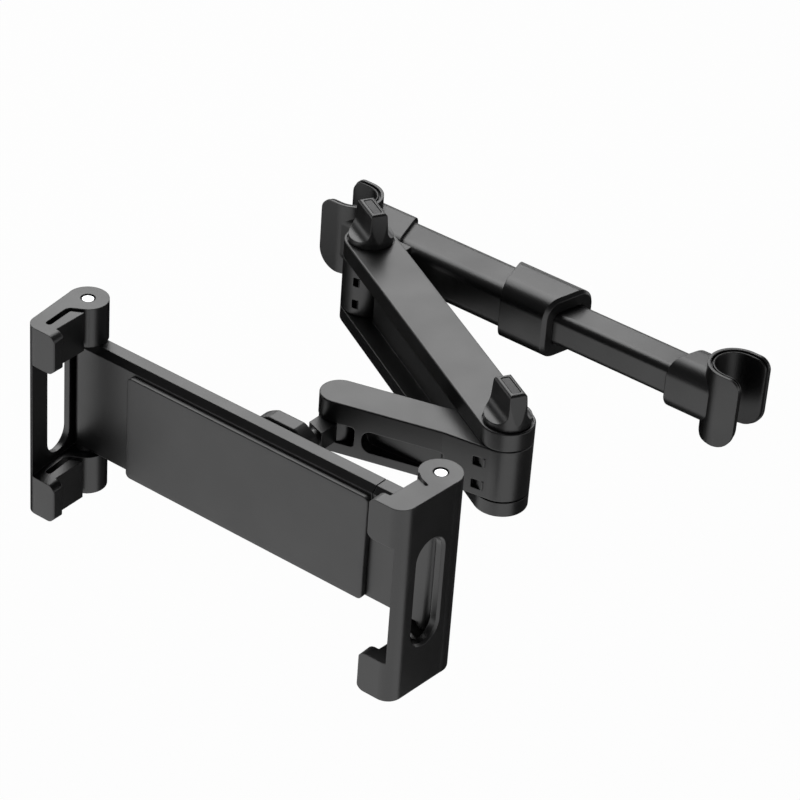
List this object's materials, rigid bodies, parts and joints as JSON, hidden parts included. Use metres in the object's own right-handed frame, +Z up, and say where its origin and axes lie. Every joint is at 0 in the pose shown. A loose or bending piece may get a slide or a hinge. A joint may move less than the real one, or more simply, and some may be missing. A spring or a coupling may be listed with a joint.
{
  "type": "headrest tablet mount",
  "caption": "Tablet mount for a car headrest: a telescopic bar with two post hooks, a folding arm with wing knobs, and a stretching tablet holder with claws on a ball joint.",
  "frame": {"origin": "on the axis of the left headrest post, at half the height of the bar", "axes": "+X along the bar to the right post, +Z up along the posts, -Y towards the tablet"},
  "size_m": [0.1865, 0.1868, 0.0768],
  "materials": {
    "black_plastic": "fine moulded grain, satin black",
    "soft_liner": "smooth soft black",
    "pad_rubber": "matt soft black",
    "inner_plastic": "smooth dark grey",
    "grey_insert": "matt dark grey",
    "zinc_steel": "zinc plated",
    "spring_steel": "drawn wire",
    "bright_steel": "bright ground"
  },
  "bodies": {
    "bar": {"left_hook_block": "black_plastic", "left_hook_liner": "soft_liner", "outer_tube": "black_plastic", "tube_collar": "black_plastic", "collar_bush": "inner_plastic", "bar_spring": "spring_steel"},
    "slide_bar": {"inner_bar": "black_plastic", "bar_guide": "inner_plastic", "right_hook": "black_plastic", "right_hook_liner": "soft_liner", "right_hook_screw": "zinc_steel"},
    "upper_arm": {"upper_arm": "black_plastic", "pivot_nuts": "zinc_steel", "knob_washers": "zinc_steel"},
    "shoulder_knob": {"shoulder_knob": "black_plastic", "shoulder_knob_cap": "grey_insert", "shoulder_stud": "zinc_steel"},
    "elbow_knob": {"elbow_knob": "black_plastic", "elbow_knob_cap": "grey_insert", "elbow_stud": "zinc_steel"},
    "forearm": {"forearm": "black_plastic", "wrist_pin": "zinc_steel"},
    "ball_arm": {"ball_arm": "black_plastic"},
    "ball_liner": {"ball_liner": "inner_plastic"},
    "ball_cup": {"ball_cup": "inner_plastic"},
    "clamp_nut": {"clamp_nut": "black_plastic"},
    "holder": {"holder_body": "black_plastic", "front_pad": "pad_rubber", "rear_cover": "black_plastic", "cover_screws": "zinc_steel", "holder_springs": "spring_steel"},
    "right_slider": {"right_slider": "black_plastic"},
    "left_claw": {"left_claw": "black_plastic", "left_claw_pin": "bright_steel"},
    "right_claw": {"right_claw": "black_plastic", "right_claw_pin": "bright_steel"}
  },
  "joints": [
    {"name": "bar_slide", "type": "slide", "parent": "bar", "child": "slide_bar", "axis": [1, 0, 0], "range_m": [-0.043, 0], "stiffness_N_per_m": 150, "springref_m": 0.01, "deforming": ["bar_spring"]},
    {"name": "shoulder", "type": "hinge", "parent": "bar", "child": "upper_arm", "pos_m": [0.027, -0.0254, 0], "axis": [0, 0, 1], "range_deg": [-145, 28]},
    {"name": "shoulder_knob_turn", "type": "hinge", "parent": "upper_arm", "child": "shoulder_knob", "pos_m": [0.027, -0.0254, 0], "axis": [0, 0, 1], "continuous": true},
    {"name": "elbow_knob_turn", "type": "hinge", "parent": "upper_arm", "child": "elbow_knob", "pos_m": [0.1338, -0.08622, 0], "axis": [0, 0, 1], "continuous": true},
    {"name": "elbow", "type": "hinge", "parent": "upper_arm", "child": "forearm", "pos_m": [0.1338, -0.08622, 0], "axis": [0, 0, 1], "range_deg": [-24, 105]},
    {"name": "wrist", "type": "hinge", "parent": "forearm", "child": "ball_arm", "pos_m": [0.07545, -0.10277, 0], "axis": [0, 0, -1], "range_deg": [-14, 70]},
    {"name": "ball_pan", "type": "hinge", "parent": "ball_arm", "child": "ball_liner", "pos_m": [0.07545, -0.13257, -0.0026], "axis": [0, 0, 1], "range_deg": [-20, 20]},
    {"name": "ball_tilt", "type": "hinge", "parent": "ball_liner", "child": "ball_cup", "pos_m": [0.07545, -0.13257, -0.0026], "axis": [1, 0, 0], "range_deg": [-20, 20]},
    {"name": "nut_turn", "type": "hinge", "parent": "ball_cup", "child": "clamp_nut", "pos_m": [0.07545, -0.13257, -0.0026], "axis": [0, 1, 0], "continuous": true},
    {"name": "holder_turn", "type": "hinge", "parent": "ball_cup", "child": "holder", "pos_m": [0.07545, -0.13257, -0.0026], "axis": [0, 1, 0], "continuous": true},
    {"name": "holder_stretch", "type": "slide", "parent": "holder", "child": "right_slider", "axis": [1, 0, 0], "range_m": [0, 0.08], "stiffness_N_per_m": 60, "springref_m": -0.02},
    {"name": "left_claw_fold", "type": "hinge", "parent": "holder", "child": "left_claw", "pos_m": [-0.0003, -0.14857, 0], "axis": [0, 0, 1], "range_deg": [0, 40]},
    {"name": "right_claw_fold", "type": "hinge", "parent": "right_slider", "child": "right_claw", "pos_m": [0.1512, -0.14857, 0], "axis": [0, 0, -1], "range_deg": [0, 40]}
  ]
}
